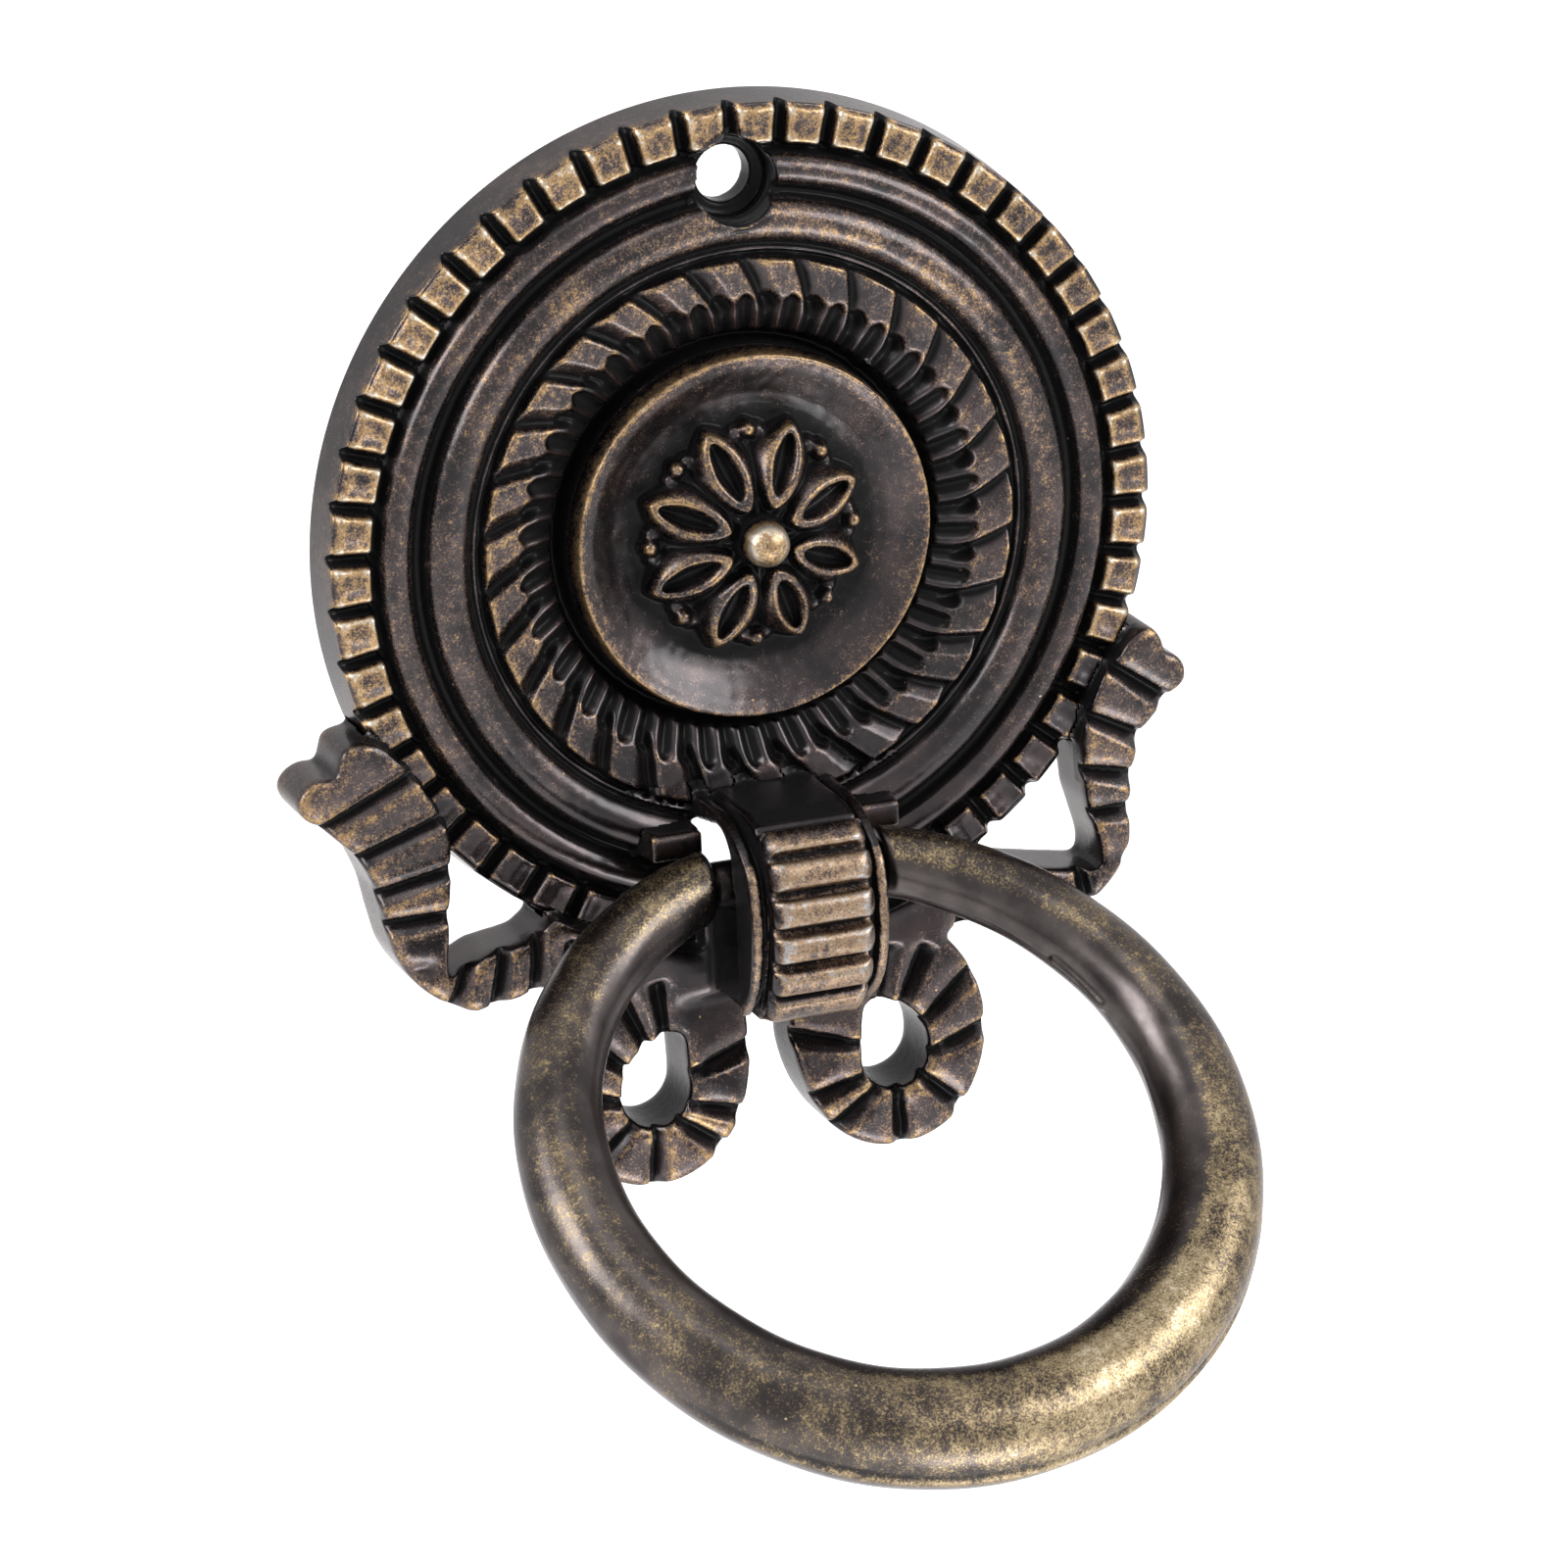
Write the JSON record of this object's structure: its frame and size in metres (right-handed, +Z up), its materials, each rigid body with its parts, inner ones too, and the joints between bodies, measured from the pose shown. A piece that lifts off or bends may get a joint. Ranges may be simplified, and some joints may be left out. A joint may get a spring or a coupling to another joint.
{
  "type": "ring pull handle",
  "caption": "Cast ring pull for a drawer or cabinet door: a round moulded plate with a rosette, ribbon bow and ribbed knuckle, and a hinged ring.",
  "frame": {"origin": "middle of the round plate, on its back face, where it meets the drawer", "axes": "+Z up along the handle from the ring to the screw hole, +X to the right seen from the front, -Y out of the drawer's face, so the back face looks along +Y"},
  "size_m": [0.0521, 0.0384, 0.0675],
  "materials": {
    "plate_metal": "dark bronzed zinc casting, rubbed to pale copper on its raised edges",
    "ring_metal": "dark olive bronzed zinc casting with a smooth, mottled, half-gloss skin"
  },
  "bodies": {
    "plate": {"backplate": "plate_metal"},
    "ring": {"pull_ring": "ring_metal"}
  },
  "joints": [
    {"name": "ring_swing", "type": "hinge", "parent": "plate", "child": "ring", "pos_m": [0, -0.00795, -0.0183], "axis": [-1, 0, 0], "range_deg": [-57, 120]}
  ]
}
